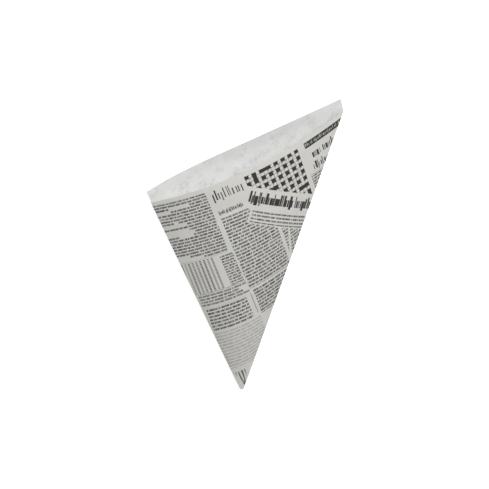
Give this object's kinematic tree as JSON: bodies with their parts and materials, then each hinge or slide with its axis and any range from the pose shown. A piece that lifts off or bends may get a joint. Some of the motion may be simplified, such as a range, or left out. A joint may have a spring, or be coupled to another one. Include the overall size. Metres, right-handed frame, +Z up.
{
  "type": "paper cone bag",
  "caption": "Folded paper cone bag for takeaway food, lying open on its back, with a slanted mouth, a taller back panel that forms a lip and a glued side seam.",
  "frame": {"origin": "centre of the bounding box in X and Y, at the height of the table under the bag's back", "axes": "+Y from the folded tip to the mouth along the cone's axis, +Z up out of the table through the front panel, +X towards the longer side crease"},
  "size_m": [0.165, 0.24, 0.0539],
  "materials": {
    "paper": null
  },
  "bodies": {
    "root": {"paper_sheet": "paper"}
  },
  "joints": []
}
